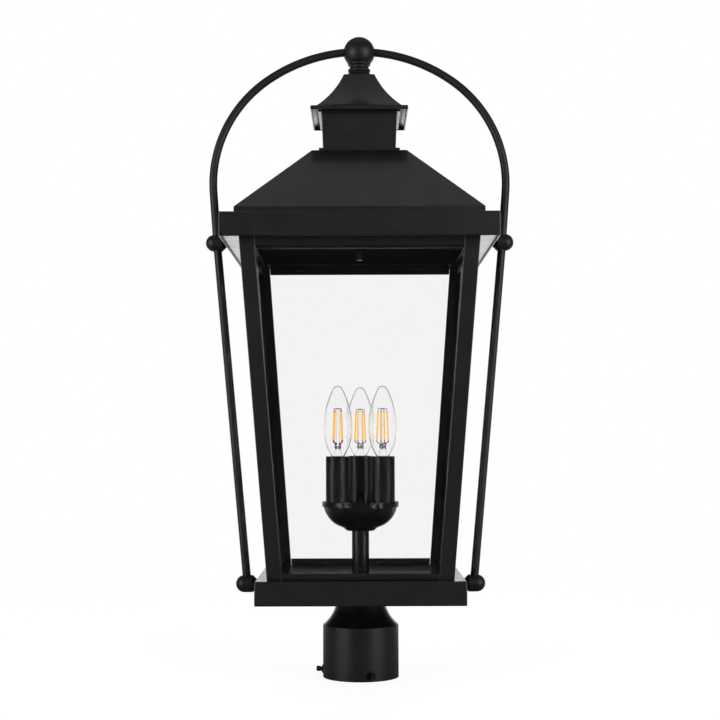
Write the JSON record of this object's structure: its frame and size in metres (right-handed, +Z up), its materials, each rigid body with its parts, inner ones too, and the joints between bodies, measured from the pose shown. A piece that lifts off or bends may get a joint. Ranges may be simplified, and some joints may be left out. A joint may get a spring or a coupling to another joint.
{
  "type": "post top lantern",
  "caption": "Square tapered outdoor lantern for a round post, with glazed sides, hip roof, cupola, ball finial, carrying hoop and candle bulbs.",
  "frame": {"origin": "centre of the lower rim of the round fitter that slips over the post", "axes": "+Z up, towards the finial; -Y is the front; the hoop lies in the XZ plane"},
  "size_m": [0.3436, 0.2876, 0.7116],
  "materials": {
    "black_powder_coat": "satin",
    "black_hardware": "satin black oxide",
    "zinc_steel": "zinc plated",
    "socket_black": "gloss",
    "bulb_cap": "nickel plated brass",
    "bulb_glass": "clear",
    "window_glass": "clear",
    "filament": "amber phosphor coating"
  },
  "bodies": {
    "lantern": {"arch_rod": "black_powder_coat", "base_pan": "black_powder_coat", "base_plate": "black_powder_coat", "bottom_rails": "black_powder_coat", "ceiling_plate": "black_powder_coat", "clip_screws": "black_powder_coat", "cluster_cap_nut": "black_powder_coat", "cluster_cover": "black_powder_coat", "cluster_cup": "black_powder_coat", "corner_post_front_left": "black_powder_coat", "corner_post_front_right": "black_powder_coat", "corner_post_rear_left": "black_powder_coat", "corner_post_rear_right": "black_powder_coat", "cupola_base": "black_powder_coat", "cupola_box": "black_powder_coat", "cupola_cap": "black_powder_coat", "cupola_collar": "black_powder_coat", "finial_ball": "black_powder_coat", "finial_neck": "black_powder_coat", "fitter_lock_nuts": "black_hardware", "glass_clips": "black_powder_coat", "glass_pane_front": "window_glass", "glass_pane_left": "window_glass", "glass_pane_rear": "window_glass", "glass_pane_right": "window_glass", "knob_screws": "zinc_steel", "lower_knob_left": "black_powder_coat", "lower_knob_right": "black_powder_coat", "post_fitter": "black_powder_coat", "rod_nuts": "zinc_steel", "roof": "black_powder_coat", "side_rod_left": "black_powder_coat", "side_rod_right": "black_powder_coat", "socket_core_left": "socket_black", "socket_core_rear": "socket_black", "socket_core_right": "socket_black", "socket_nuts": "zinc_steel", "socket_sleeve_left": "socket_black", "socket_sleeve_rear": "socket_black", "socket_sleeve_right": "socket_black", "stem_tube": "black_powder_coat", "threaded_rod": "zinc_steel", "tie_rod": "black_powder_coat", "tie_rod_nuts": "zinc_steel", "top_frame": "black_powder_coat", "top_rails": "black_powder_coat", "upper_knob_left": "black_powder_coat", "upper_knob_right": "black_powder_coat"},
    "set_screw_front": {"set_screw_front": "black_hardware"},
    "set_screw_rear": {"set_screw_rear": "black_hardware"},
    "set_screw_left": {"set_screw_left": "black_hardware"},
    "bulb_rear": {"bulb_base_rear": "bulb_cap", "bulb_glass_rear": "bulb_glass", "bulb_mount_rear": "filament"},
    "bulb_left": {"bulb_base_left": "bulb_cap", "bulb_glass_left": "bulb_glass", "bulb_mount_left": "filament"},
    "bulb_right": {"bulb_base_right": "bulb_cap", "bulb_glass_right": "bulb_glass", "bulb_mount_right": "filament"}
  },
  "joints": [
    {"name": "set_screw_front_travel", "type": "slide", "parent": "lantern", "child": "set_screw_front", "axis": [0.2588, -0.9659, 0], "range_m": [-0.0016, 0.0025]},
    {"name": "set_screw_rear_travel", "type": "slide", "parent": "lantern", "child": "set_screw_rear", "axis": [0.7071, 0.7071, 0], "range_m": [-0.0016, 0.0025]},
    {"name": "set_screw_left_travel", "type": "slide", "parent": "lantern", "child": "set_screw_left", "axis": [-0.9659, 0.2588, 0], "range_m": [-0.0016, 0.0025]},
    {"name": "bulb_rear_removal", "type": "slide", "parent": "lantern", "child": "bulb_rear", "axis": [0, 0, 1], "range_m": [0, 0.03]},
    {"name": "bulb_left_removal", "type": "slide", "parent": "lantern", "child": "bulb_left", "axis": [0, 0, 1], "range_m": [0, 0.03]},
    {"name": "bulb_right_removal", "type": "slide", "parent": "lantern", "child": "bulb_right", "axis": [0, 0, 1], "range_m": [0, 0.03]}
  ]
}
